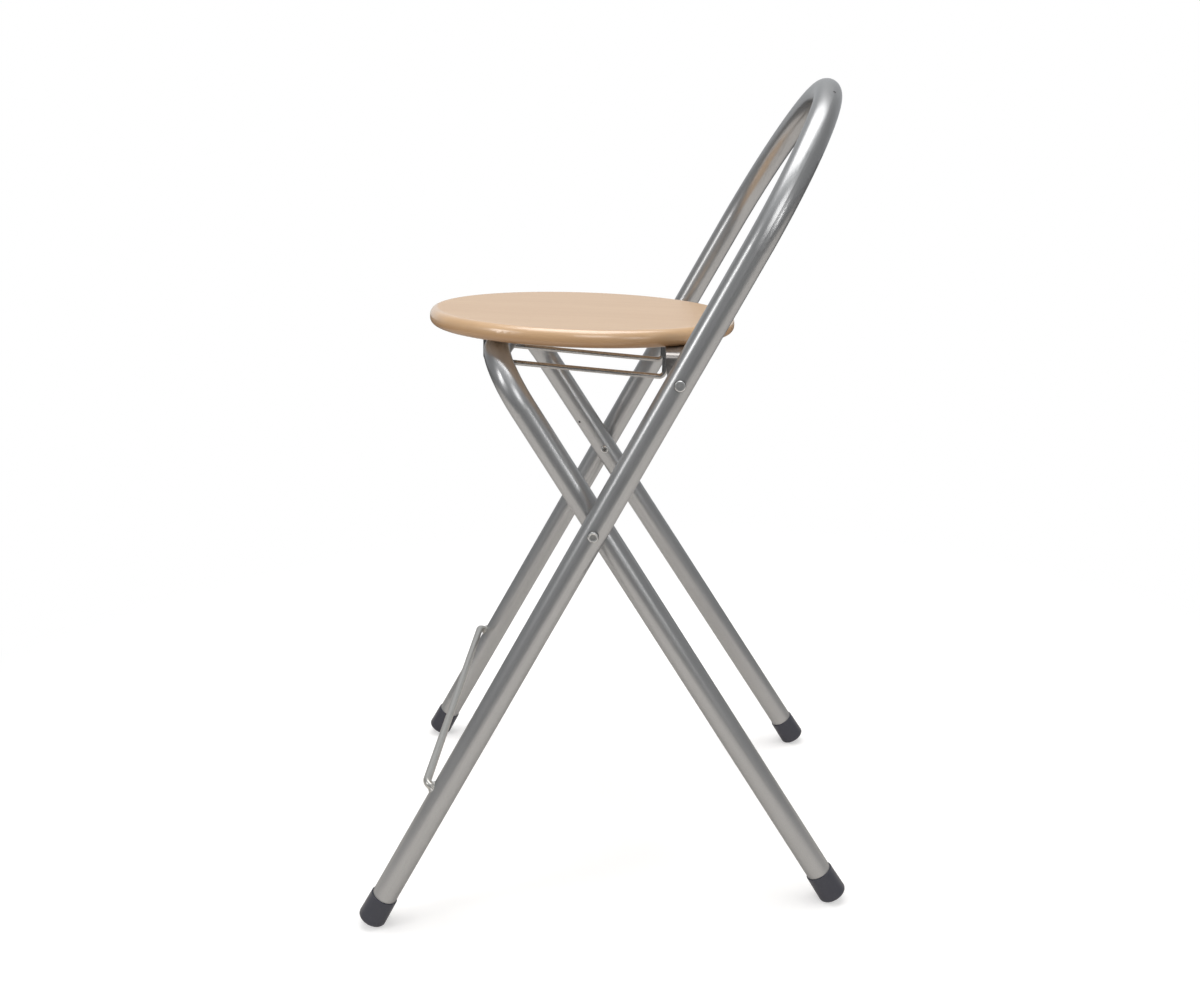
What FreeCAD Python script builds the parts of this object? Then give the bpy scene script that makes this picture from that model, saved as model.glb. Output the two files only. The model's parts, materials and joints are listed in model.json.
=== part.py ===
import FreeCAD, Part
import math
import os

# Folding bar stool: a hoop-backed outer frame and a smaller inner leg frame cross like scissors on two
# rivets, and a round seat hinged on the hoop's legs rests on the inner frame's cross tube.
# +Z is up, +X is to the right of a sitter and the back hoop stands at +Y. The origin is on the floor
# under the middle of the stool's outline. Millimetres and degrees.

# Round tube of both frames
tube_diameter = 25.0
tube_wall = 1.5

# Rivets on which the two frames cross, and the room that they leave between the frames' tubes
pivot_height = 396.6
frame_gap = 8.0

# Hoop frame: two long legs joined by a rounded hoop at the top
hoop_lean_angle = 31.05
hoop_splay_angle = 3.19
hoop_straight_rise = 278.7
hoop_shoulder_radius = 148.8
hoop_shoulder_angle = 33.3

# Leg frame: two shorter legs joined by the cross tube that carries the seat
leg_lean_angle = 30.06
leg_splay_angle = 2.73
leg_half_width = 144.0
leg_reach = 175.8
leg_corner_radius = 56.8

# Moulded caps on the four feet: a cap widens a little towards its closed end
cap_length = 30.7
cap_rim_wall = 1.15
cap_end_radius = 14.2
cap_end_wall = 3.0
cap_end_round = 4.0
cap_rim_round = 0.6
cap_flat_depth = 0.5

# Footrest rod, welded to the front of the hoop frame's legs
footrest_diameter = 8.0
footrest_fall = 296.5
footrest_stand_off = 19.1
footrest_bend_radius = 8.0
weld_width = 3.0
weld_height = 2.4

# Round wooden seat and the hinge under its rear edge
seat_radius = 150.0
seat_thickness = 16.0
seat_top_round = 7.7
seat_bottom_round = 6.1
seat_centre_ahead = 93.1
seat_hinge_reach = 152.0
seat_hinge_drop = 23.2
seat_rest_gap = 0.35

# Angle brackets that hang the seat on its hinge rivets
bracket_thickness = 2.5
bracket_half_width = 12.5
bracket_bend_radius = 3.0
bracket_foot_length = 78.0
ear_end_radius = 10.0
ear_shoulder_height = 14.0

# Screws that hold the brackets
screw_diameter = 4.0
screw_length = 11.0
screw_head_radius = 4.0
screw_head_height = 2.2
screw_head_round = 1.54
screw_edge_distance = 9.0
screw_spacing = 20.0

# Wire guides in which the cross tube slides
wire_diameter = 5.0
wire_half_spacing = 49.3
wire_bend_radius = 5.0
wire_sunk = 8.0
guide_rear_ahead = 10.4
guide_front_room = 0.4
guide_play_front = 2.1
guide_fall_to_rear = 9.7

# Rivets and the spacers on them
rivet_diameter = 6.0
rivet_head_radius = 5.2
rivet_head_height = 2.6
rivet_head_round = 2.08
rivet_tail_radius = 4.3
rivet_tail_height = 1.5
rivet_tail_bore = 1.4
rivet_tail_bore_depth = 3.0
leg_spacer_radius = 8.0
seat_spacer_radius = 7.0
seat_spacer_thickness = 1.5

# Small drilled holes that vent the tubes
vent_diameter = 2.8
hoop_vent_offset = 68.0
leg_vent_rise = 42.0
leg_vent_angle = 38.0

# Clearances
side_gap = 0.3
pin_fit = 0.05
seat_fit = 0.02

hoop_half_width = leg_half_width + tube_diameter + frame_gap
tube_radius = tube_diameter / 2
rivet_radius = rivet_diameter / 2
wire_radius = wire_diameter / 2
footrest_radius = footrest_diameter / 2
weld_radius = footrest_radius + weld_width
cap_rim_radius = tube_radius + cap_rim_wall
sides = {"right": 1, "left": -1}

# Two edges or faces this close are taken to be in the same place
same_place = 0.01

X_AXIS = FreeCAD.Vector(1, 0, 0)
ORIGIN = FreeCAD.Vector(0, 0, 0)


def tangent(degrees):
    return math.tan(math.radians(degrees))


def cosine(degrees):
    return math.cos(math.radians(degrees))


def sine(degrees):
    return math.sin(math.radians(degrees))


def fall_to_foot(lean, splay):
    """Distance along a frame's plane from the pivot axis down to the middle of a cap's end face,
    with the lowest part of the cap's rounded edge pressed flat on the floor."""
    upright = cosine(lean) * cosine(splay)
    edge_centre = (cap_end_radius - cap_end_round) * math.sqrt(1 - upright ** 2)
    end_height = edge_centre + cap_end_round - cap_flat_depth - cap_end_round * upright
    return (pivot_height - end_height) / cosine(lean)


def reach_of_foot(fall, lean, splay):
    """How far a cap's rounded edge stands out from the pivot axis along the floor."""
    outward = sine(lean) * cosine(splay)
    edge_middle = fall * sine(lean) - cap_end_round * outward
    edge_circle = (cap_end_radius - cap_end_round) * math.sqrt(1 - outward ** 2)
    return edge_middle + edge_circle + cap_end_round


hoop_fall = fall_to_foot(hoop_lean_angle, hoop_splay_angle)
leg_fall = fall_to_foot(leg_lean_angle, leg_splay_angle)

# The origin is midway between the front of the hoop frame's feet and the back of the leg frame's
front_reach = reach_of_foot(hoop_fall, hoop_lean_angle, hoop_splay_angle)
rear_reach = reach_of_foot(leg_fall, leg_lean_angle, leg_splay_angle)
pivot = FreeCAD.Vector(0, (front_reach - rear_reach) / 2, pivot_height)


def place(shape, turn, at):
    moved = shape.copy()
    moved.rotate(ORIGIN, X_AXIS, turn)
    moved.translate(at)
    return moved


def on_hoop(shape):
    """From the hoop frame's own plane (x across, z up along it, y out of its back) to the stool."""
    return place(shape, -hoop_lean_angle, pivot)


def on_legs(shape):
    """The same for the leg frame, which leans the other way."""
    return place(shape, leg_lean_angle, pivot)


# Seat hinge and cross tube, seen from the side with the stool open
hinge = FreeCAD.Vector(
    0,
    pivot.y + seat_hinge_reach * sine(hoop_lean_angle),
    pivot.z + seat_hinge_reach * cosine(hoop_lean_angle),
)
cross_tube = FreeCAD.Vector(
    0,
    pivot.y - leg_reach * sine(leg_lean_angle),
    pivot.z + leg_reach * cosine(leg_lean_angle),
)
to_tube = cross_tube.sub(hinge)

# The seat's underside passes the hinge at its drop and rests on the cross tube, which sets its tilt
tube_above_hinge = seat_hinge_drop - seat_rest_gap - tube_radius
seat_tilt = math.degrees(
    math.asin(tube_above_hinge / to_tube.Length) - math.atan2(to_tube.z, -to_tube.y)
)
tube_ahead = math.sqrt(to_tube.Length ** 2 - tube_above_hinge ** 2)


def on_seat(shape):
    """From the seat's own frame (origin on its hinge, z square to the seat, y to the rear)."""
    return place(shape, seat_tilt, hinge)


def straight(start, end):
    return Part.LineSegment(start, end).toShape()


def arc_about(centre, radius, start_angle, end_angle):
    """Arc in the x-z plane, its angles counted from +x towards +z."""
    def point(angle):
        return FreeCAD.Vector(
            centre.x + radius * cosine(angle), centre.y, centre.z + radius * sine(angle)
        )
    return Part.Arc(
        point(start_angle), point((start_angle + end_angle) / 2), point(end_angle)
    ).toShape()


def mirrored(edge):
    return edge.mirror(ORIGIN, X_AXIS)


def end_point(edge, last):
    return edge.valueAt(edge.LastParameter if last else edge.FirstParameter)


def rod_along(edges, radius):
    """Solid round rod whose centre line is the given chain of edges."""
    wire = Part.Wire(edges)
    first = wire.OrderedEdges[0]
    start = first.valueAt(first.FirstParameter)
    direction = first.tangentAt(first.FirstParameter)
    circle = Part.Wire(Part.Circle(start, direction, radius).toShape())
    return wire.makePipeShell([circle], True, False)


def rounded_chain(points, bend_radius):
    """Straight runs between points, joined by tangent arcs of one radius."""
    edges = []
    start = points[0]
    for corner, following in zip(points[1:-1], points[2:]):
        inward = corner.sub(start)
        inward.normalize()
        outward = following.sub(corner)
        outward.normalize()
        turn = inward.getAngle(outward)
        setback = bend_radius * math.tan(turn / 2)
        bend_start = corner.sub(inward * setback)
        bend_end = corner.add(outward * setback)
        bisector = outward.sub(inward)
        bisector.normalize()
        centre = corner.add(bisector * (bend_radius / math.cos(turn / 2)))
        middle = centre.sub(bisector * bend_radius)
        edges.append(straight(start, bend_start))
        edges.append(Part.Arc(bend_start, middle, bend_end).toShape())
        start = bend_end
    edges.append(straight(start, points[-1]))
    return edges


def hoop_x(height):
    """Half width between the hoop frame's leg centre lines at a height along its plane."""
    return hoop_half_width - height * tangent(hoop_splay_angle)


def leg_x(height):
    return leg_half_width - height * tangent(leg_splay_angle)


def along_leg(foot, splay, distance):
    """Point on a right leg's centre line, at a distance up from its foot."""
    return foot.add(FreeCAD.Vector(-sine(splay), 0, cosine(splay)) * distance)


# Centre line of the hoop frame, in its own plane
shoulder_start = FreeCAD.Vector(hoop_x(hoop_straight_rise), 0, hoop_straight_rise)
shoulder_centre = shoulder_start.sub(
    FreeCAD.Vector(cosine(hoop_splay_angle), 0, sine(hoop_splay_angle)) * hoop_shoulder_radius
)
crown_start_angle = hoop_splay_angle + hoop_shoulder_angle
shoulder = arc_about(shoulder_centre, hoop_shoulder_radius, hoop_splay_angle, crown_start_angle)
crown_start = end_point(shoulder, True)
crown_radius = crown_start.x / cosine(crown_start_angle)
crown_centre = FreeCAD.Vector(0, 0, crown_start.z - crown_radius * sine(crown_start_angle))
crown = arc_about(crown_centre, crown_radius, crown_start_angle, 180 - crown_start_angle)
hoop_foot = FreeCAD.Vector(hoop_x(-hoop_fall), 0, -hoop_fall)
hoop_tube_end = along_leg(hoop_foot, hoop_splay_angle, cap_end_wall)
hoop_leg_line = straight(hoop_tube_end, shoulder_start)
hoop_path = [hoop_leg_line, shoulder, crown, mirrored(shoulder), mirrored(hoop_leg_line)]

# Centre line of the leg frame, in its own plane
corner_height = leg_reach - leg_corner_radius
corner_centre = FreeCAD.Vector(
    leg_x(corner_height) - leg_corner_radius / cosine(leg_splay_angle), 0, corner_height
)
leg_corner = arc_about(corner_centre, leg_corner_radius, leg_splay_angle, 90)
leg_foot = FreeCAD.Vector(leg_x(-leg_fall), 0, -leg_fall)
leg_tube_end = along_leg(leg_foot, leg_splay_angle, cap_end_wall)
leg_line = straight(leg_tube_end, end_point(leg_corner, False))
cross_line = straight(
    end_point(leg_corner, True), FreeCAD.Vector(-corner_centre.x, 0, leg_reach)
)
leg_path = [leg_line, leg_corner, cross_line, mirrored(leg_corner), mirrored(leg_line)]


def pin_hole(at, radius):
    """Cylinder through the whole stool along X, for the holes of a pair of rivets."""
    span = 4 * hoop_half_width
    return Part.makeCylinder(radius, span, FreeCAD.Vector(-span / 2, at.y, at.z), X_AXIS)


def leg_cutter(foot, top, side, extra):
    """Space taken by one straight leg, so that what seats on the tube gets its hollow shape."""
    start = FreeCAD.Vector(side * foot.x, foot.y, foot.z)
    end = FreeCAD.Vector(side * top.x, top.y, top.z)
    along = end.sub(start)
    return Part.makeCylinder(tube_radius + extra, along.Length, start, along)


def bent_tube(path):
    outer = rod_along(path, tube_radius)
    return outer.cut(rod_along(path, tube_radius - tube_wall))


# Hoop frame, with the holes for four rivets and a vent on the right side of its crown
hoop_frame = on_hoop(bent_tube(hoop_path))
for rivet_at in (pivot, hinge):
    hoop_frame = hoop_frame.cut(pin_hole(rivet_at, rivet_radius + pin_fit))
vent_angle = math.degrees(math.acos(hoop_vent_offset / crown_radius))
vent_direction = FreeCAD.Vector(cosine(vent_angle), 0, sine(vent_angle))
hoop_vent = Part.makeCylinder(
    vent_diameter / 2, tube_diameter,
    crown_centre.add(vent_direction * crown_radius), vent_direction,
)
hoop_frame = hoop_frame.cut(on_hoop(hoop_vent))

# Leg frame, with its two pivot holes and a vent inside its left leg
leg_frame = on_legs(bent_tube(leg_path))
leg_frame = leg_frame.cut(pin_hole(pivot, rivet_radius + pin_fit))
leg_vent = Part.makeCylinder(
    vent_diameter / 2, tube_diameter,
    FreeCAD.Vector(-leg_x(leg_vent_rise), 0, leg_vent_rise),
    FreeCAD.Vector(cosine(leg_vent_angle), -sine(leg_vent_angle), 0),
)
leg_frame = leg_frame.cut(on_legs(leg_vent))

# Feet: each cap is a blind sleeve with a rounded end, worn flat where it stands
floor_block_size = 4 * hoop_fall
floor_block = Part.makeBox(
    floor_block_size, floor_block_size, floor_block_size,
    FreeCAD.Vector(-floor_block_size / 2, -floor_block_size / 2, -floor_block_size),
)


def foot_cap(foot, splay, side):
    cap = Part.makeCone(cap_end_radius, cap_rim_radius, cap_length)
    end_edges = [e for e in cap.Edges if abs(e.BoundBox.ZMax) < same_place]
    cap = cap.makeFillet(cap_end_round, end_edges)
    rim_edges = [e for e in cap.Edges if abs(e.BoundBox.ZMin - cap_length) < same_place]
    cap = cap.makeFillet(cap_rim_round, rim_edges)
    bore = Part.makeCylinder(
        tube_radius + seat_fit, cap_length, FreeCAD.Vector(0, 0, cap_end_wall - seat_fit)
    )
    cap = cap.cut(bore)
    cap.rotate(ORIGIN, FreeCAD.Vector(0, 1, 0), -side * splay)
    cap.translate(FreeCAD.Vector(side * foot.x, foot.y, foot.z))
    return cap


parts = {"hoop_frame": hoop_frame, "leg_frame": leg_frame}

for side_name, side in sides.items():
    front_cap = on_hoop(foot_cap(hoop_foot, hoop_splay_angle, side))
    rear_cap = on_legs(foot_cap(leg_foot, leg_splay_angle, side))
    parts["front_foot_cap_" + side_name] = front_cap.cut(floor_block)
    parts["rear_foot_cap_" + side_name] = rear_cap.cut(floor_block)

# Footrest: one rod whose ends bend back onto the front of the hoop frame's legs
rod_end_x = hoop_x(-footrest_fall)
rod_start = math.sqrt(tube_radius ** 2 - weld_radius ** 2)
rod_points = [
    FreeCAD.Vector(rod_end_x, -rod_start, -footrest_fall),
    FreeCAD.Vector(rod_end_x, -footrest_stand_off, -footrest_fall),
    FreeCAD.Vector(-rod_end_x, -footrest_stand_off, -footrest_fall),
    FreeCAD.Vector(-rod_end_x, -rod_start, -footrest_fall),
]
rod_path = rounded_chain(rod_points, footrest_bend_radius)
footrest_rod = rod_along(rod_path, footrest_radius)
rod_cutter = rod_along(rod_path, footrest_radius + seat_fit)
weld_beads = []
for side in sides.values():
    tube_space = leg_cutter(hoop_foot, shoulder_start, side, seat_fit)
    footrest_rod = footrest_rod.cut(tube_space)
    bead = Part.makeCone(
        weld_radius, footrest_radius, tube_radius + weld_height - rod_start,
        FreeCAD.Vector(side * rod_end_x, -rod_start, -footrest_fall), FreeCAD.Vector(0, -1, 0),
    )
    weld_beads.append(bead.cut(tube_space).cut(rod_cutter))
parts["footrest_rod"] = on_hoop(footrest_rod)
parts["footrest_welds"] = on_hoop(Part.makeCompound(weld_beads))


def rivet(at, head_x, tail_x, side, tube_space):
    """Round-headed rivet along X, its head hollowed to sit on the tube, its tail rolled over."""
    head = Part.makeCylinder(rivet_head_radius, rivet_head_height + tube_wall,
                             FreeCAD.Vector(head_x - tube_wall, 0, 0), X_AXIS)
    rim = [
        edge for edge in head.Edges
        if abs(edge.CenterOfMass.x - head_x - rivet_head_height) < same_place and len(edge.Vertexes) == 1
    ]
    head = head.makeFillet(rivet_head_round, rim)
    shank = Part.makeCylinder(
        rivet_radius, head_x - tail_x, FreeCAD.Vector(tail_x, 0, 0), X_AXIS
    )
    tail = Part.makeCylinder(
        rivet_tail_radius, rivet_tail_height,
        FreeCAD.Vector(tail_x - rivet_tail_height, 0, 0), X_AXIS,
    )
    tail_rim = [
        edge for edge in tail.Edges
        if abs(edge.CenterOfMass.x - tail_x + rivet_tail_height) < same_place and len(edge.Vertexes) == 1
    ]
    tail = tail.makeFillet(rivet_tail_height / 2, tail_rim)
    bore = Part.makeCylinder(
        rivet_tail_bore, rivet_tail_bore_depth,
        FreeCAD.Vector(tail_x - rivet_tail_height, 0, 0), X_AXIS,
    )
    body = shank.fuse(tail).cut(bore)
    if side < 0:
        head = mirrored(head)
        body = mirrored(body)
    head.translate(at)
    body.translate(at)
    return body.fuse(head.cut(tube_space)).removeSplitter()


def spacer(at, inner_x, outer_x, radius, side, tube_space):
    """Plain ring on a rivet, flat towards the moving part and hollowed to seat on the tube."""
    ring = Part.makeCylinder(radius, outer_x - inner_x, FreeCAD.Vector(inner_x, 0, 0), X_AXIS)
    hole = Part.makeCylinder(
        rivet_radius + pin_fit, outer_x - inner_x, FreeCAD.Vector(inner_x, 0, 0), X_AXIS
    )
    ring = ring.cut(hole)
    if side < 0:
        ring = mirrored(ring)
    ring.translate(at)
    return ring.cut(tube_space)


# Half thickness across X of a tube that leans sideways by its splay
hoop_crest = tube_radius / cosine(hoop_splay_angle)
leg_crest = tube_radius / cosine(leg_splay_angle)

# Crossing of the frames: the spacer's flat face stays clear of the leg that turns past it
leg_spacer_face = leg_half_width + leg_crest + leg_spacer_radius * tangent(leg_splay_angle) + side_gap
pivot_tail_face = leg_half_width - leg_crest - rivet_tail_radius * tangent(leg_splay_angle) - side_gap

# Seat hinge: ear, spacer and hoop tube in a row
hinge_tube_x = hoop_x(seat_hinge_reach)
seat_spacer_face = hinge_tube_x - hoop_crest - seat_spacer_thickness
ear_outer = seat_spacer_face - side_gap
ear_inner = ear_outer - bracket_thickness

for side_name, side in sides.items():
    tube_space = on_hoop(leg_cutter(hoop_foot, shoulder_start, side, seat_fit))
    parts["leg_pivot_rivet_" + side_name] = rivet(
        pivot, hoop_half_width + hoop_crest, pivot_tail_face, side, tube_space
    )
    parts["leg_pivot_spacer_" + side_name] = spacer(
        pivot, leg_spacer_face, hoop_half_width, leg_spacer_radius, side, tube_space
    )
    parts["seat_hinge_rivet_" + side_name] = rivet(
        hinge, hinge_tube_x + hoop_crest, ear_inner - side_gap, side, tube_space
    )
    parts["seat_hinge_spacer_" + side_name] = spacer(
        hinge, seat_spacer_face, hinge_tube_x, seat_spacer_radius, side, tube_space
    )

# Seat panel, in the seat's own frame
seat_panel = Part.makeCylinder(
    seat_radius, seat_thickness, FreeCAD.Vector(0, -seat_centre_ahead, seat_hinge_drop)
)
bottom_rim = [e for e in seat_panel.Edges if abs(e.BoundBox.ZMax - seat_hinge_drop) < same_place]
seat_panel = seat_panel.makeFillet(seat_bottom_round, bottom_rim)
seat_top = seat_hinge_drop + seat_thickness
top_rim = [e for e in seat_panel.Edges if abs(e.BoundBox.ZMin - seat_top) < same_place]
seat_panel = seat_panel.makeFillet(seat_top_round, top_rim)

# Wire guides: each rail falls away to the rear and turns up into the seat at both ends
wire_front = tube_ahead + tube_radius + guide_front_room + wire_radius
wire_fall_front = seat_rest_gap + tube_diameter + guide_play_front + wire_radius
wire_fall_rear = wire_fall_front + guide_fall_to_rear
wire_top = seat_hinge_drop + wire_sunk
socket_depth = wire_sunk + seat_fit
for side_name, side in sides.items():
    wire_x = side * wire_half_spacing
    wire_points = [
        FreeCAD.Vector(wire_x, -wire_front, wire_top),
        FreeCAD.Vector(wire_x, -wire_front, seat_hinge_drop - wire_fall_front),
        FreeCAD.Vector(wire_x, -guide_rear_ahead, seat_hinge_drop - wire_fall_rear),
        FreeCAD.Vector(wire_x, -guide_rear_ahead, wire_top),
    ]
    wire_path = rounded_chain(wire_points, wire_bend_radius)
    parts["seat_guide_wire_" + side_name] = on_seat(rod_along(wire_path, wire_radius))
    for wire_y in (-wire_front, -guide_rear_ahead):
        seat_panel = seat_panel.cut(Part.makeCylinder(
            wire_radius + seat_fit, socket_depth, FreeCAD.Vector(wire_x, wire_y, seat_hinge_drop)
        ))

# Angle brackets: a foot under the seat and an ear down to the hinge
foot_bottom = seat_hinge_drop - bracket_thickness
foot_inner = ear_outer - bracket_foot_length
bend_outer = bracket_bend_radius + bracket_thickness
ear_bottom = -ear_end_radius
bend_middle = math.sqrt(0.5)
screw_xs = [foot_inner + screw_edge_distance, foot_inner + screw_edge_distance + screw_spacing]


def bracket_outline():
    """Outline of the ear seen from the side: wide under the seat, tapering to the round end."""
    shoulder_corner = FreeCAD.Vector(0, bracket_half_width, ear_shoulder_height)
    reach = shoulder_corner.Length
    touch = math.atan2(ear_shoulder_height, bracket_half_width) - math.acos(ear_end_radius / reach)
    touch_y = ear_end_radius * math.cos(touch)
    touch_z = ear_end_radius * math.sin(touch)
    corners = [
        FreeCAD.Vector(0, -bracket_half_width, seat_hinge_drop),
        FreeCAD.Vector(0, -bracket_half_width, ear_shoulder_height),
        FreeCAD.Vector(0, -touch_y, touch_z),
        FreeCAD.Vector(0, 0, ear_bottom),
        FreeCAD.Vector(0, touch_y, touch_z),
        FreeCAD.Vector(0, bracket_half_width, ear_shoulder_height),
        FreeCAD.Vector(0, bracket_half_width, seat_hinge_drop),
    ]
    edges = [
        straight(corners[0], corners[1]),
        straight(corners[1], corners[2]),
        Part.Arc(corners[2], corners[3], corners[4]).toShape(),
        straight(corners[4], corners[5]),
        straight(corners[5], corners[6]),
        straight(corners[6], corners[0]),
    ]
    return Part.Face(Part.Wire(edges))


def bracket():
    """Right-hand bracket: a bent strip, cut to its outline and drilled."""
    bend_centre = FreeCAD.Vector(
        ear_inner - bracket_bend_radius, -bracket_half_width, foot_bottom - bracket_bend_radius
    )
    corners = [
        FreeCAD.Vector(foot_inner, -bracket_half_width, seat_hinge_drop),
        FreeCAD.Vector(ear_outer - bend_outer, -bracket_half_width, seat_hinge_drop),
        FreeCAD.Vector(ear_outer, -bracket_half_width, seat_hinge_drop - bend_outer),
        FreeCAD.Vector(ear_outer, -bracket_half_width, ear_bottom),
        FreeCAD.Vector(ear_inner, -bracket_half_width, ear_bottom),
        FreeCAD.Vector(ear_inner, -bracket_half_width, foot_bottom - bracket_bend_radius),
        FreeCAD.Vector(ear_inner - bracket_bend_radius, -bracket_half_width, foot_bottom),
        FreeCAD.Vector(foot_inner, -bracket_half_width, foot_bottom),
    ]
    diagonal = FreeCAD.Vector(bend_middle, 0, bend_middle)
    edges = [
        straight(corners[0], corners[1]),
        Part.Arc(corners[1], bend_centre.add(diagonal * bend_outer), corners[2]).toShape(),
        straight(corners[2], corners[3]),
        straight(corners[3], corners[4]),
        straight(corners[4], corners[5]),
        Part.Arc(
            corners[5], bend_centre.add(diagonal * bracket_bend_radius), corners[6]
        ).toShape(),
        straight(corners[6], corners[7]),
        straight(corners[7], corners[0]),
    ]
    strip = Part.Face(Part.Wire(edges)).extrude(FreeCAD.Vector(0, 2 * bracket_half_width, 0))
    outline = bracket_outline().extrude(FreeCAD.Vector(ear_outer, 0, 0))
    strip = strip.common(outline)
    strip = strip.cut(pin_hole(ORIGIN, rivet_radius + pin_fit))
    for screw_x in screw_xs:
        strip = strip.cut(Part.makeCylinder(
            screw_diameter / 2 + pin_fit, bracket_thickness, FreeCAD.Vector(screw_x, 0, foot_bottom)
        ))
    return strip


right_bracket = bracket()
parts["seat_bracket_right"] = on_seat(right_bracket)
parts["seat_bracket_left"] = on_seat(mirrored(right_bracket))

# Screws, from under the bracket feet into the seat
screws = []
for side in sides.values():
    for screw_x in screw_xs:
        base = FreeCAD.Vector(side * screw_x, 0, foot_bottom)
        shank = Part.makeCylinder(screw_diameter / 2, screw_length, base)
        head = Part.makeCylinder(
            screw_head_radius, screw_head_height, base.sub(FreeCAD.Vector(0, 0, screw_head_height))
        )
        lower_rim = [
            e for e in head.Edges if abs(e.BoundBox.ZMax - foot_bottom + screw_head_height) < same_place
        ]
        head = head.makeFillet(screw_head_round, lower_rim)
        screws.append(shank.fuse(head).removeSplitter())
        seat_panel = seat_panel.cut(Part.makeCylinder(
            screw_diameter / 2 + seat_fit, screw_length + seat_fit, base
        ))
parts["bracket_screws"] = on_seat(Part.makeCompound(screws))
parts["seat_panel"] = on_seat(seat_panel)

os.makedirs("parts", exist_ok=True)
for name, shape in parts.items():
    shape.exportStep("parts/" + name + ".step")
    for solid in shape.Solids:
        print(name, "valid", solid.isValid(), "volume", round(solid.Volume, 1))
print("tilt", round(seat_tilt, 3), "pivot y", round(pivot.y, 3), "hinge", hinge, "tube", cross_tube)
print("tube ahead", round(tube_ahead, 2), "crown radius", round(crown_radius, 2))
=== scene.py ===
import json
import math

import bmesh
import bpy
from mathutils import Matrix, Vector


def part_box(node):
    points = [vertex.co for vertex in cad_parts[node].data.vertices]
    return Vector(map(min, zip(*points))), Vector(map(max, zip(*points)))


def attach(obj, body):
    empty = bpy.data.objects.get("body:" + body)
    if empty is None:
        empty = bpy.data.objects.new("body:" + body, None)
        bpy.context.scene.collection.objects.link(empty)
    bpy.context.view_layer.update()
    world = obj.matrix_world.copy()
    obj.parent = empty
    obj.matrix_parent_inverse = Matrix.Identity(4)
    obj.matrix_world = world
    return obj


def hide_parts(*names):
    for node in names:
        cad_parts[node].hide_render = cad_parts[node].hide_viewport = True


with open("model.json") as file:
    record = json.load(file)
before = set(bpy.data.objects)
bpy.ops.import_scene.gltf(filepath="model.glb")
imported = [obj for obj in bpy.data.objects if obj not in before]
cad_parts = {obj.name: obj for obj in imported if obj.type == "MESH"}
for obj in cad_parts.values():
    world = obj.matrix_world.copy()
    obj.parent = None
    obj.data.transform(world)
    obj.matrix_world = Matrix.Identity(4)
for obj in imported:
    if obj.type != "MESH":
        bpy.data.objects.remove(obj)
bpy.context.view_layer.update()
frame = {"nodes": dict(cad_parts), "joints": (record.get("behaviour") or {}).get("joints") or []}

# Hoop frame and leg frame
# Two frames of 25 mm round steel tube, bent cold and sprayed with a silver metallic paint that
# dries to a satin skin. The hoop frame makes the back and the front legs, the leg frame the rear
# legs.
flakes_per_metre = 2600.0
peel_per_metre = 420.0
mottle_per_metre = 26.0
scuffs_per_metre = 95.0
peel_depth = 0.000006
scuff_tone = 0.8
scuff_cover = 0.5
scuff_roughness = 0.16
frame_grey_dark = (0.42, 0.42, 0.42)
frame_grey_light = (0.50, 0.50, 0.50)


def material_nodes(name):
    """New material with its tree, its Principled shader and the object's own coordinates."""
    material = bpy.data.materials.new(name)
    material.use_nodes = True
    tree = material.node_tree
    shader = tree.nodes["Principled BSDF"]
    place = tree.nodes.new("ShaderNodeTexCoord").outputs["Object"]
    return material, tree, shader, place


def finish_node(name, material):
    """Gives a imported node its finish."""
    slots = frame["nodes"][name].data.materials
    slots.clear()
    slots.append(material)


def add_noise(tree, place, scale, detail=3.0, roughness=0.5):
    """Cloudy value of about scale features to the metre."""
    texture = tree.nodes.new("ShaderNodeTexNoise")
    texture.inputs["Scale"].default_value = scale
    texture.inputs["Detail"].default_value = detail
    texture.inputs["Roughness"].default_value = roughness
    tree.links.new(place, texture.inputs["Vector"])
    return texture.outputs["Fac"]


def add_range(tree, value, low, high, to_low=0.0, to_high=1.0, smooth=False):
    """Value stretched from one range to another, and held at its ends."""
    node = tree.nodes.new("ShaderNodeMapRange")
    node.interpolation_type = "SMOOTHSTEP" if smooth else "LINEAR"
    node.inputs["From Min"].default_value = low
    node.inputs["From Max"].default_value = high
    node.inputs["To Min"].default_value = to_low
    node.inputs["To Max"].default_value = to_high
    tree.links.new(value, node.inputs["Value"])
    return node.outputs["Result"]


def add_math(tree, kind, *values):
    """One step of arithmetic, on numbers or outputs."""
    node = tree.nodes.new("ShaderNodeMath")
    node.operation = kind
    for socket, value in zip(node.inputs, values):
        if isinstance(value, float):
            socket.default_value = value
        else:
            tree.links.new(value, socket)
    return node.outputs["Value"]


def add_mix(tree, factor, first, second):
    """Mix of two colours, each a colour or an output."""
    node = tree.nodes.new("ShaderNodeMix")
    node.data_type = "RGBA"
    tree.links.new(factor, node.inputs["Factor"])
    colour_sockets = [socket for socket in node.inputs if socket.type == "RGBA"]
    for socket, value in zip(colour_sockets, (first, second)):
        if isinstance(value, tuple):
            socket.default_value = (*value, 1.0)
        else:
            tree.links.new(value, socket)
    return next(socket for socket in node.outputs if socket.type == "RGBA")


def add_bump(tree, shader, height, distance):
    """Fine relief of the given height, in metres."""
    node = tree.nodes.new("ShaderNodeBump")
    node.inputs["Distance"].default_value = distance
    tree.links.new(height, node.inputs["Height"])
    tree.links.new(node.outputs["Normal"], shader.inputs["Normal"])


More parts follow.
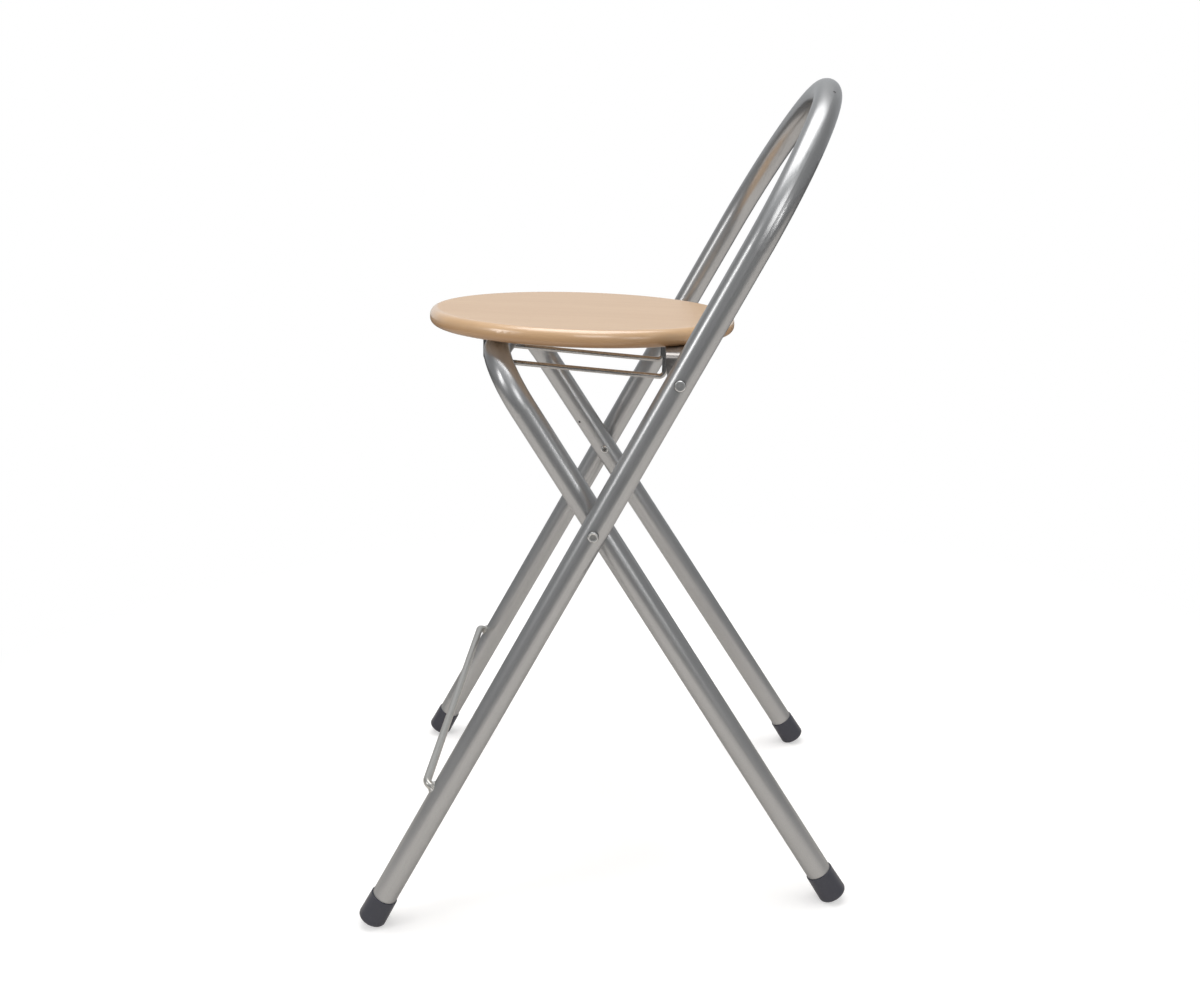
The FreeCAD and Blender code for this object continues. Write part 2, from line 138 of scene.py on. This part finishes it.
def new_group(name, outputs):
    """Shader group that reads a place on the piece and gives the named values."""
    group = bpy.data.node_groups.new(name, "ShaderNodeTree")
    group.interface.new_socket("Place", in_out="INPUT", socket_type="NodeSocketVector")
    for output in outputs:
        group.interface.new_socket(output, in_out="OUTPUT", socket_type="NodeSocketFloat")
    source = group.nodes.new("NodeGroupInput").outputs["Place"]
    sink = group.nodes.new("NodeGroupOutput").inputs
    return group, source, sink


def use_group(tree, group, place):
    """The group's values in a material."""
    node = tree.nodes.new("ShaderNodeGroup")
    node.node_tree = group
    tree.links.new(place, node.inputs["Place"])
    return node.outputs


# Sprayed paint has flakes under half a millimetre, orange peel of about 2 mm, and slow mottle
skin_values = ("Flake", "Peel", "Mottle", "Scuff")
sprayed_skin, on_skin, skin_sockets = new_group("sprayed_skin", skin_values)
flake = add_noise(sprayed_skin, on_skin, flakes_per_metre, detail=1.0)
peel = add_noise(sprayed_skin, on_skin, peel_per_metre, detail=2.0)
mottle = add_noise(sprayed_skin, on_skin, mottle_per_metre)
scuffing = add_noise(sprayed_skin, on_skin, scuffs_per_metre, detail=6.0, roughness=0.7)
scuffed = add_range(sprayed_skin, scuffing, 0.66, 0.74, smooth=True)
sprayed_skin.links.new(add_range(sprayed_skin, flake, 0.3, 0.7), skin_sockets["Flake"])
sprayed_skin.links.new(peel, skin_sockets["Peel"])
sprayed_skin.links.new(add_range(sprayed_skin, mottle, 0.3, 0.7), skin_sockets["Mottle"])
sprayed_skin.links.new(scuffed, skin_sockets["Scuff"])


def silver_paint(name, dark, light, smooth=0.28, rough=0.34):
    """Satin metallic paint between two greys."""
    material, tree, shader, place = material_nodes(name)
    skin = use_group(tree, sprayed_skin, place)
    flaked = add_mix(tree, skin["Flake"], dark, light)
    dulled = tuple(scuff_tone * part for part in dark)
    scuffs = add_math(tree, "MULTIPLY", skin["Scuff"], scuff_cover)
    tree.links.new(add_mix(tree, scuffs, flaked, dulled), shader.inputs["Base Color"])
    worn = add_math(tree, "MULTIPLY", skin["Scuff"], scuff_roughness)
    sheen = add_range(tree, skin["Mottle"], 0.0, 1.0, smooth, rough)
    tree.links.new(add_math(tree, "ADD", sheen, worn), shader.inputs["Roughness"])
    add_bump(tree, shader, skin["Peel"], peel_depth)
    shader.inputs["Metallic"].default_value = 0.85
    shader.inputs["IOR"].default_value = 1.35
    shader.inputs["Specular Tint"].default_value = (0.38, 0.38, 0.38, 1.0)
    shader.inputs["Coat Weight"].default_value = 0.35
    shader.inputs["Coat Roughness"].default_value = 0.16
    return material


frame_paint = silver_paint("frame_paint", frame_grey_dark, frame_grey_light)
for node in ("hoop_frame", "leg_frame"):
    finish_node(node, frame_paint)

# Footrest
# One 8 mm rod bent back at both ends and welded to the front of the hoop frame's legs, then
# painted with the frame. Each weld is a bead around the rod with the ripples of the torch. The
# rod and welds are painted lighter and warmer than the frame, as painted light.
rod_radius = 0.004
tube_radius = 0.0125
bead_width = 0.0028
bead_crown = 0.0022
bead_bore = 0.0032
bead_lip = 0.0006
bead_depth = 0.0012
bead_draft = 0.001
bead_swell = 0.12
bead_wander = 0.05
bead_bulge = 0.00055
bead_parts = 8
weld_ripples = 17
ripple_height = 0.00045
weld_steps = 204
hoop_lean = math.radians(31.05)
rod_fall = 0.2965
# Painted light: greys lighter and warmer than the frame's paint, which the rod really shares
rod_lit_grey_dark = (0.51, 0.50, 0.475)
rod_lit_grey_light = (0.61, 0.60, 0.57)
joint_places = {joint["name"]: Vector(joint["pos_m"]) for joint in frame["joints"]}
pivot_point = joint_places["leg_fold"]

lit_rod_paint = silver_paint("lit_rod_paint", rod_lit_grey_dark, rod_lit_grey_light)
finish_node("footrest_rod", lit_rod_paint)


def ripple_bead(vert):
    """Moves a point of the plain bead for the torch's ripples, and lays it on the tube's side."""
    turn = math.atan2(vert.co.y, vert.co.x)
    reach, rise = math.hypot(vert.co.x, vert.co.y), vert.co.z
    ripple = ripple_height * (1.0 - abs(math.sin(0.5 * weld_ripples * turn)))
    wander = (rod_radius + bead_width) * bead_wander * math.sin(2 * turn)
    share_out = min(max((reach - rod_radius) / bead_width, 0.0), 1.0)
    if rise < 0.0 and reach > rod_radius:
        # The foot sunk in the tube moves as a whole
        share_out = 1.0
    reach += (wander - ripple) * share_out
    if rise > 0.0:
        bulge = 2 * (bead_bulge - ripple) * (1.0 - share_out) * (1.0 - rise / bead_crown)
        reach += bulge
        rise = rise * (1.0 + bead_swell * math.sin(3 * turn + 1.0)) + bulge
    across, along = reach * math.cos(turn), reach * math.sin(turn)
    vert.co = (across, along, rise + math.sqrt(tube_radius ** 2 - across ** 2))


def weld_bead():
    """Closed ring of weld metal around a rod that stands on a tube, with the rod along Z."""
    bends = [0.5 * math.pi * part / bead_parts for part in range(1, bead_parts + 1)]
    profile = [(rod_radius + bead_width, -bead_lip)]
    for bend in bends:
        reach = rod_radius + bead_width * (1.0 - math.sin(bend))
        profile.append((reach, bead_crown * (1.0 - math.cos(bend))))
    profile.append((bead_bore, bead_crown))
    profile.append((bead_bore, -bead_depth))
    profile.append((rod_radius + bead_width - bead_draft, -bead_depth))
    shape = bmesh.new()
    corners = [shape.verts.new((reach, 0.0, rise)) for reach, rise in profile]
    outline = [shape.edges.new(pair) for pair in zip(corners, corners[1:] + corners[:1])]
    bmesh.ops.spin(
        shape, geom=corners + outline, cent=(0.0, 0.0, 0.0), axis=(0.0, 0.0, 1.0),
        angle=2 * math.pi, steps=weld_steps, use_merge=True,
    )
    for vert in shape.verts:
        ripple_bead(vert)
    return shape


def finished(shape, name, material, body, crease_angle=50.0):
    """Turns a mesh under construction into a piece that rides on a body."""
    bmesh.ops.recalc_face_normals(shape, faces=shape.faces)
    for face in shape.faces:
        face.smooth = True
    for edge in shape.edges:
        edge.smooth = edge.calc_face_angle(0.0) < math.radians(crease_angle)
    mesh = bpy.data.meshes.new(name)
    shape.to_mesh(mesh)
    shape.free()
    mesh.materials.append(material)
    piece = bpy.data.objects.new(name, mesh)
    bpy.context.scene.collection.objects.link(piece)
    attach(piece, body)
    return piece


down_hoop = Vector((0.0, -math.sin(hoop_lean), -math.cos(hoop_lean)))
ahead_of_hoop = Vector((0.0, -math.cos(hoop_lean), math.sin(hoop_lean)))
inwards = down_hoop.cross(ahead_of_hoop)
onto_leg = Matrix((inwards, down_hoop, ahead_of_hoop)).transposed()
rod_low, rod_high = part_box("footrest_rod")
right_end = Vector((rod_high.x - rod_radius, 0.0, 0.0))
left_end = Vector((rod_low.x + rod_radius, 0.0, 0.0))
beads = weld_bead()
bmesh.ops.rotate(beads, verts=beads.verts, cent=(0.0, 0.0, 0.0), matrix=onto_leg)
bmesh.ops.translate(beads, verts=beads.verts, vec=pivot_point + down_hoop * rod_fall + right_end)
right_bead = beads.verts[:] + beads.edges[:] + beads.faces[:]
left_bead = bmesh.ops.duplicate(beads, geom=right_bead)["geom"]
left_verts = [part for part in left_bead if isinstance(part, bmesh.types.BMVert)]
bmesh.ops.translate(beads, verts=left_verts, vec=left_end - right_end)
welds = finished(beads, "footrest_weld_beads", lit_rod_paint, "hoop_frame_body")
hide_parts("footrest_welds")

# Foot caps
# Four blind sleeves of injection-moulded black plastic, pushed over the ends of the tubes.
# Their skin is finely etched, and dusty and rubbed near the floor.
etching_per_metre = 1900.0
handling_per_metre = 240.0
etching_depth = 0.00004
cap_rub_height = 0.007
cap_black = (0.039, 0.040, 0.053)
cap_dust = (0.075, 0.078, 0.085)


def add_split(tree, place):
    """X, Y and Z of a place."""
    node = tree.nodes.new("ShaderNodeSeparateXYZ")
    tree.links.new(place, node.inputs["Vector"])
    return node.outputs


cap_plastic, tree, shader, place = material_nodes("cap_plastic")
etched = add_noise(tree, place, etching_per_metre, detail=2.0)
handled = add_noise(tree, place, handling_per_metre, detail=5.0, roughness=0.65)
height = add_split(tree, place)["Z"]
near_floor = add_range(tree, height, 0.0, cap_rub_height, 1.0, 0.0, smooth=True)
dusty = add_math(tree, "MULTIPLY", near_floor, handled)
patchy = add_range(tree, handled, 0.5, 0.8, 0.0, 0.25, smooth=True)
dust = add_math(tree, "MAXIMUM", dusty, patchy)
tree.links.new(add_mix(tree, dust, cap_black, cap_dust), shader.inputs["Base Color"])
tree.links.new(add_range(tree, dust, 0.0, 0.6, 0.34, 0.6), shader.inputs["Roughness"])
add_bump(tree, shader, etched, etching_depth)
for end in ("front", "rear"):
    for side in ("left", "right"):
        finish_node(f"{end}_foot_cap_{side}", cap_plastic)

# Rivets
# Four bright-plated steel rivets pin the frames together and carry the seat. Each has a formed
# head on the outside of the hoop, and a tail rolled over on the inside. Painted shade darkens
# the middle of each head, and a painted shadow the ring around its foot.
haze_per_metre = 380.0
marks_per_metre = 3000.0
tool_mark_depth = 0.00001
rivet_mark_depth = 0.00003
steel_dark = (0.72, 0.72, 0.71)
steel_light = (0.86, 0.86, 0.85)
# Grey of the painted shadow and painted shade on the rivet heads
shade_grey = (0.10, 0.10, 0.10)
rivet_shank = 0.0030
head_radius = 0.0052
head_height = 0.0036
head_rim = 0.0047
head_dish = 0.0031
rivet_steps = 72
rivet_crease = 60.0
same_point = 0.000001
# Shares of painted shade: a painted contact shadow around each head's foot, and painted shade in
# the middle of the heads
foot_shadow = 0.85
pivot_middle_shade = 0.6
hinge_middle_shade = 0.15
hinge_point = joint_places["seat_fold"]
# Heads and tails as distances from the end of the rivet and from its axis
dished_head = (
    (0.00034, 0.0), (0.00034, 0.0016), (0.00031, 0.0026), (0.00022, head_dish),
    (0.00008, 0.0034), (0.0, 0.0038), (0.00003, 0.0041), (0.00016, 0.0044),
    (0.00045, head_rim), (0.00100, 0.0050), (0.00180, head_radius),
    (head_height, head_radius), (head_height, rivet_shank),
)
flat_head = (
    (0.00010, 0.0), (0.00006, 0.0028), (0.0, 0.0037), (0.00008, 0.0042), (0.00034, 0.0046),
    (0.00090, 0.0049), (0.00180, head_radius), (head_height, head_radius),
    (head_height, rivet_shank),
)
rolled_tail = (
    (0.0015, rivet_shank), (0.0015, 0.0042), (0.0011, 0.0043), (0.0006, 0.0041),
    (0.0002, 0.0036), (0.0, 0.0030), (0.0001, 0.0021), (0.0006, 0.0015), (0.0030, 0.0014),
    (0.0030, 0.0),
)

turned_metal, on_metal, metal_sockets = new_group("turned_metal", ("Haze", "Marks"))
haze = add_noise(turned_metal, on_metal, haze_per_metre, detail=4.0, roughness=0.6)
marks = add_noise(turned_metal, on_metal, marks_per_metre, detail=2.0)
turned_metal.links.new(haze, metal_sockets["Haze"])
turned_metal.links.new(marks, metal_sockets["Marks"])

rivet_steel, tree, shader, place = material_nodes("rivet_steel")
painted_shade = tree.nodes.new("ShaderNodeAttribute")
painted_shade.attribute_name = "painted_shade"
worked = use_group(tree, turned_metal, place)
tone = add_range(tree, worked["Haze"], 0.35, 0.65)
bright_steel = add_mix(tree, tone, steel_dark, steel_light)
broken_up = add_range(tree, worked["Marks"], 0.3, 0.7, 0.7, 1.3)
# The painted shade, broken up by the fine marks, darkens the steel
shaded_share = add_math(tree, "MULTIPLY", painted_shade.outputs["Fac"], broken_up)
tree.links.new(add_mix(tree, shaded_share, bright_steel, shade_grey), shader.inputs["Base Color"])
tree.links.new(add_range(tree, shaded_share, 0.0, 1.0, 0.30, 0.55), shader.inputs["Roughness"])
add_bump(tree, shader, worked["Marks"], rivet_mark_depth)
shader.inputs["Metallic"].default_value = 1.0


def spun_rivet(node, centre, head, side, middle_shade):
    """Rivet spun about its axis, with painted shade in the middle of the head and a painted shadow
    around its foot.
    """
    low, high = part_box(node)
    head_end, tail_end = (high.x, low.x) if side == "right" else (low.x, high.x)
    inwards = -1.0 if side == "right" else 1.0
    profile = [(head_end + inwards * depth, reach) for depth, reach in head]
    profile += [(tail_end - inwards * depth, reach) for depth, reach in rolled_tail]
    shape = bmesh.new()
    verts = [shape.verts.new((x, centre.y, centre.z + reach)) for x, reach in profile]
    edges = [shape.edges.new(pair) for pair in zip(verts, verts[1:])]
    bmesh.ops.spin(
        shape, geom=verts + edges, cent=(0.0, centre.y, centre.z), axis=(1.0, 0.0, 0.0),
        angle=2 * math.pi, steps=rivet_steps, use_merge=True,
    )
    bmesh.ops.remove_doubles(shape, verts=shape.verts, dist=same_point)
    piece = finished(shape, f"{node}_turned", rivet_steel, "hoop_frame_body", rivet_crease)
    # Painted shade kept on the points: a painted shadow around the head's foot, painted shade in
    # its middle
    layer = piece.data.attributes.new("painted_shade", "FLOAT", "POINT")
    for vert in piece.data.vertices:
        reach = math.hypot(vert.co.y - centre.y, vert.co.z - centre.z)
        if reach > head_rim:
            layer.data[vert.index].value = foot_shadow
        elif reach < head_dish:
            layer.data[vert.index].value = middle_shade
    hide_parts(node)


for side in ("left", "right"):
    spun_rivet(f"leg_pivot_rivet_{side}", pivot_point, dished_head, side, pivot_middle_shade)
    spun_rivet(f"seat_hinge_rivet_{side}", hinge_point, flat_head, side, hinge_middle_shade)

# Spacers
# A ring of black nylon on each rivet keeps the paint of the moving part clear of the hoop. Its
# moulded skin is dull and slightly grainy.
nylon_grain_per_metre = 900.0
nylon_grain_depth = 0.00005
nylon_dark = (0.016, 0.016, 0.018)
nylon_light = (0.04, 0.04, 0.044)
spacer_nylon, tree, shader, place = material_nodes("spacer_nylon")
nylon_grain = add_noise(tree, place, nylon_grain_per_metre)
nylon_tone = add_range(tree, nylon_grain, 0.3, 0.7)
tree.links.new(add_mix(tree, nylon_tone, nylon_dark, nylon_light), shader.inputs["Base Color"])
tree.links.new(add_range(tree, nylon_grain, 0.3, 0.7, 0.4, 0.55), shader.inputs["Roughness"])
add_bump(tree, shader, nylon_grain, nylon_grain_depth)
for side in ("left", "right"):
    finish_node(f"leg_pivot_spacer_{side}", spacer_nylon)
    finish_node(f"seat_hinge_spacer_{side}", spacer_nylon)

# Seat panel
# A disc of light beech, 300 mm across, with a flat top and a fully rounded edge, under a clear
# satin lacquer that has pooled and yellowed a little on the edge. The lower part of the edge is
# painted darker brown, as painted shade.
seat_tilt = math.radians(-3.972)
seat_bottom = -0.008
amber_above = 0.006
edge_starts = 0.1408
edge_ends = 0.1445
figure_per_metre = 60.0
fibres_per_metre = 700.0
flecks_per_metre = 900.0
blotches_per_metre = 9.0
grain_depth = 0.00003
top_pale = (0.60, 0.42, 0.265)
top_deep = (0.52, 0.335, 0.197)
edge_amber = (0.66, 0.41, 0.20)
edge_shade_brown = (0.27, 0.14, 0.055)
pore_brown = (0.40, 0.23, 0.12)
blotch_brown = (0.55, 0.36, 0.22)
seat_low, seat_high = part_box("seat_panel")

seat_wood, tree, shader, place = material_nodes("seat_wood")
centred = tree.nodes.new("ShaderNodeMapping")
centred.vector_type = "TEXTURE"
centred.inputs["Location"].default_value = (seat_low + seat_high) / 2
centred.inputs["Rotation"].default_value = (seat_tilt, 0.0, 0.0)
tree.links.new(place, centred.inputs["Vector"])
on_seat = centred.outputs["Vector"]


def add_distance(tree, place, shares=(1.0, 1.0, 0.0)):
    """Distance from the middle, in which each direction counts for its share."""
    shared = tree.nodes.new("ShaderNodeVectorMath")
    shared.operation = "MULTIPLY"
    shared.inputs[1].default_value = shares
    tree.links.new(place, shared.inputs[0])
    length = tree.nodes.new("ShaderNodeVectorMath")
    length.operation = "LENGTH"
    tree.links.new(shared.outputs["Vector"], length.inputs[0])
    return length.outputs["Value"]


def along_grain(squeeze):
    """Seat coordinates squeezed so that a pattern runs along the grain, from front to rear."""
    node = tree.nodes.new("ShaderNodeMapping")
    node.inputs["Scale"].default_value = (1.0, squeeze, 1.0)
    tree.links.new(on_seat, node.inputs["Vector"])
    return node.outputs["Vector"]


figure = add_noise(tree, along_grain(0.08), figure_per_metre, detail=4.0, roughness=0.55)
fibre = add_noise(tree, along_grain(0.04), fibres_per_metre)
fleck = add_noise(tree, along_grain(0.16), flecks_per_metre, detail=1.0)
blotch = add_noise(tree, on_seat, blotches_per_metre, detail=2.0)
figure_tone = add_range(tree, figure, 0.35, 0.65, 0.0, 0.3)
fibre_tone = add_range(tree, fibre, 0.3, 0.7, 0.0, 0.3)
grain_tone = add_math(tree, "ADD", figure_tone, fibre_tone)
flecks = add_range(tree, fleck, 0.68, 0.74, 0.0, 0.35, smooth=True)
top_tone = add_mix(tree, flecks, add_mix(tree, grain_tone, top_pale, top_deep), pore_brown)
# Painted shade: the edge goes from amber at the top to a darker brown at the bottom
up_edge = add_range(tree, add_split(tree, on_seat)["Z"], seat_bottom, amber_above, smooth=True)
edge_figure = add_range(tree, figure, 0.35, 0.65, 0.0, 0.25)
edge_tone = add_mix(tree, edge_figure, add_mix(tree, up_edge, edge_shade_brown, edge_amber), pore_brown)
outwards = add_range(tree, add_distance(tree, on_seat), edge_starts, edge_ends, smooth=True)
wood_tone = add_mix(tree, outwards, top_tone, edge_tone)
warmed = add_range(tree, blotch, 0.35, 0.65, 0.0, 0.12)
tree.links.new(add_mix(tree, warmed, wood_tone, blotch_brown), shader.inputs["Base Color"])
tree.links.new(add_range(tree, outwards, 0.0, 1.0, 0.42, 0.30), shader.inputs["Roughness"])
add_bump(tree, shader, add_math(tree, "ADD", fibre, fleck), grain_depth)
lacquer = add_math(tree, "MULTIPLY", outwards, up_edge)
tree.links.new(add_range(tree, lacquer, 0.0, 1.0, 0.15, 1.0), shader.inputs["Coat Weight"])
shader.inputs["Specular IOR Level"].default_value = 0.35
shader.inputs["Coat IOR"].default_value = 2.0
shader.inputs["Coat Roughness"].default_value = 0.27
finish_node("seat_panel", seat_wood)

# Brackets and screws
# Two bent strips of zinc-plated steel hang the seat from the hinge rivets. Four round-headed
# screws hold them to the underside. The strips' zinc is painted darker and browner, as painted
# shade under the seat and a painted reflection of the wood.
# Painted shade and painted reflection: zinc greys darkened and browned
shaded_zinc_dark = (0.27, 0.25, 0.235)
shaded_zinc_light = (0.37, 0.345, 0.325)
screw_dark = (0.50, 0.50, 0.49)
screw_light = (0.64, 0.64, 0.63)


def plated(name, dark, light, smooth, rough):
    """Plated steel between two tones, with the haze and the fine marks of its making."""
    material, tree, shader, place = material_nodes(name)
    worked = use_group(tree, turned_metal, place)
    tone = add_range(tree, worked["Haze"], 0.35, 0.65)
    sheen = add_range(tree, worked["Haze"], 0.3, 0.7, smooth, rough)
    tree.links.new(add_mix(tree, tone, dark, light), shader.inputs["Base Color"])
    tree.links.new(sheen, shader.inputs["Roughness"])
    add_bump(tree, shader, worked["Marks"], tool_mark_depth)
    shader.inputs["Metallic"].default_value = 1.0
    return material


bracket_zinc_shaded = plated("bracket_zinc_shaded", shaded_zinc_dark, shaded_zinc_light, smooth=0.28, rough=0.40)
screw_steel = plated("screw_steel", screw_dark, screw_light, smooth=0.20, rough=0.32)
for side in ("left", "right"):
    finish_node(f"seat_bracket_{side}", bracket_zinc_shaded)
finish_node("bracket_screws", screw_steel)

# Guide wires
# Two loops of 5 mm drawn wire, chromed, with both ends let into the seat. The leg frame's cross
# tube slides between them and the seat.
chrome_dark = (0.40, 0.39, 0.38)
chrome_light = (0.50, 0.49, 0.48)
wire_chrome = plated("wire_chrome", chrome_dark, chrome_light, smooth=0.06, rough=0.12)
for side in ("left", "right"):
    finish_node(f"seat_guide_wire_{side}", wire_chrome)

# Floor
# A sheet of pale paper that runs off to white for the camera. In bare metal it ends 1.3 m towards
# the camera, past which the room is dark, and runs on further to both sides.
floor_radius = 9.0
floor_sides = 96
paper_white = (0.80, 0.79, 0.78)
paper_in_metal = (0.78, 0.745, 0.705)
dark_in_metal = (0.16, 0.165, 0.17)
paper_lift = 0.36
white_from, white_past = 0.5, 1.1
paper_until, dark_past = 0.9, 1.3
sideways_share = 0.4

floor_mesh = bpy.data.meshes.new("floor")
disc = bmesh.new()
bmesh.ops.create_circle(disc, cap_ends=True, segments=floor_sides, radius=floor_radius)
disc.to_mesh(floor_mesh)
disc.free()
floor = bpy.data.objects.new("floor", floor_mesh)
bpy.context.scene.collection.objects.link(floor)

floor_paper, tree, shader, place = material_nodes("floor_paper")
tree.nodes.remove(shader)
rays = tree.nodes.new("ShaderNodeLightPath").outputs
sheet_distance = add_distance(tree, place, shares=(1.0, sideways_share, 0.0))
past_paper = add_range(tree, sheet_distance, paper_until, dark_past, smooth=True)
in_metal = add_mix(tree, past_paper, paper_in_metal, dark_in_metal)
paper = tree.nodes.new("ShaderNodeBsdfDiffuse")
paper_tone = add_mix(tree, rays["Is Glossy Ray"], paper_white, in_metal)
tree.links.new(paper_tone, paper.inputs["Color"])
lift = tree.nodes.new("ShaderNodeEmission")
lift_strength = add_math(tree, "MULTIPLY", rays["Is Camera Ray"], paper_lift)
tree.links.new(lift_strength, lift.inputs["Strength"])
lifted = tree.nodes.new("ShaderNodeAddShader")
tree.links.new(paper.outputs["BSDF"], lifted.inputs[0])
tree.links.new(lift.outputs["Emission"], lifted.inputs[1])
white = tree.nodes.new("ShaderNodeEmission")
run_off = add_range(tree, add_distance(tree, place), white_from, white_past, smooth=True)
white_share = add_math(tree, "MULTIPLY", run_off, rays["Is Camera Ray"])
whitened = tree.nodes.new("ShaderNodeMixShader")
tree.links.new(white_share, whitened.inputs["Fac"])
tree.links.new(lifted.outputs["Shader"], whitened.inputs[1])
tree.links.new(white.outputs["Emission"], whitened.inputs[2])
tree.links.new(whitened.outputs["Shader"], tree.nodes["Material Output"].inputs["Surface"])
floor_mesh.materials.append(floor_paper)

# Room
# A white room for the camera, which lights the stool more from both sides. In bare metal it is
# cool and dark, with a paler wall behind the stool and a paler ceiling.
room_white = (1.0, 1.0, 1.0)
room_cool = (0.94, 0.97, 1.0)
studio = bpy.data.worlds.new("studio")
bpy.context.scene.world = studio
studio.use_nodes = True
tree = studio.node_tree
sky = tree.nodes["Background"]
rays = tree.nodes.new("ShaderNodeLightPath").outputs
direction = add_split(tree, tree.nodes.new("ShaderNodeTexCoord").outputs["Generated"])
behind = add_range(tree, direction["X"], -0.95, -0.4, 0.8, 0.25, smooth=True)
overhead = add_range(tree, direction["Z"], 0.35, 0.9, 0.0, 0.6, smooth=True)
sideways = add_math(tree, "ABSOLUTE", direction["Y"])
from_sides = add_range(tree, sideways, 0.4, 1.0, 0.40, 1.5, smooth=True)
ambient = add_math(tree, "MULTIPLY", rays["Is Diffuse Ray"], from_sides)
room = add_math(tree, "MAXIMUM", behind, overhead)
in_metal = add_math(tree, "MULTIPLY", rays["Is Glossy Ray"], room)
shown = add_math(tree, "ADD", rays["Is Camera Ray"], in_metal)
tree.links.new(add_math(tree, "ADD", ambient, shown), sky.inputs["Strength"])
tree.links.new(add_mix(tree, rays["Is Glossy Ray"], room_white, room_cool), sky.inputs["Color"])

# Lamps
# Four soft boxes. Those to the sides and behind the camera make the glints along the tubes and the
# seat's edge, and the one overhead lights the seat.
stool_middle = Vector((0.0, 0.0, 0.45))


def soft_box(name, at, width, height, power):
    """Oblong lamp that faces the middle of the stool."""
    lamp = bpy.data.lights.new(name, "AREA")
    lamp.shape = "RECTANGLE"
    lamp.size = width
    lamp.size_y = height
    lamp.energy = power
    holder = bpy.data.objects.new(name, lamp)
    bpy.context.scene.collection.objects.link(holder)
    holder.location = at
    holder.rotation_euler = (stool_middle - Vector(at)).to_track_quat("-Z", "Y").to_euler()


soft_box("front_box", at=(1.3, -2.2, 1.85), width=0.6, height=1.0, power=10.0)
soft_box("camera_box", at=(2.3, 0.6, 2.0), width=1.1, height=1.1, power=10.0)
soft_box("side_box", at=(1.9, 1.65, 1.0), width=0.4, height=0.4, power=2.8)
soft_box("top_box", at=(-0.2, 0.1, 2.6), width=1.8, height=1.8, power=28.0)

# Camera
# The camera of the photograph, fitted to the stool's outlines: where it stands, how it is turned,
# and how its lens is shifted.
eye_place = Vector((1.14488, 0.05557, 0.71109))
eye_yaw, eye_pitch, eye_roll = 0.05928, 0.33419, -0.04049
eye = bpy.data.cameras.new("eye")
eye.sensor_width = 36.0
eye.lens = 34.177
eye.shift_x = 0.0103
eye.shift_y = 0.0466
eye_turn = (
    Matrix.Rotation(math.pi / 2 + eye_yaw, 4, "Z")
    @ Matrix.Rotation(math.pi / 2 - eye_pitch, 4, "X")
    @ Matrix.Rotation(eye_roll, 4, "Z")
)
camera = bpy.data.objects.new("camera", eye)
bpy.context.scene.collection.objects.link(camera)
camera.matrix_world = Matrix.Translation(eye_place) @ eye_turn
bpy.context.scene.camera = camera
bpy.context.scene.view_settings.view_transform = "Standard"
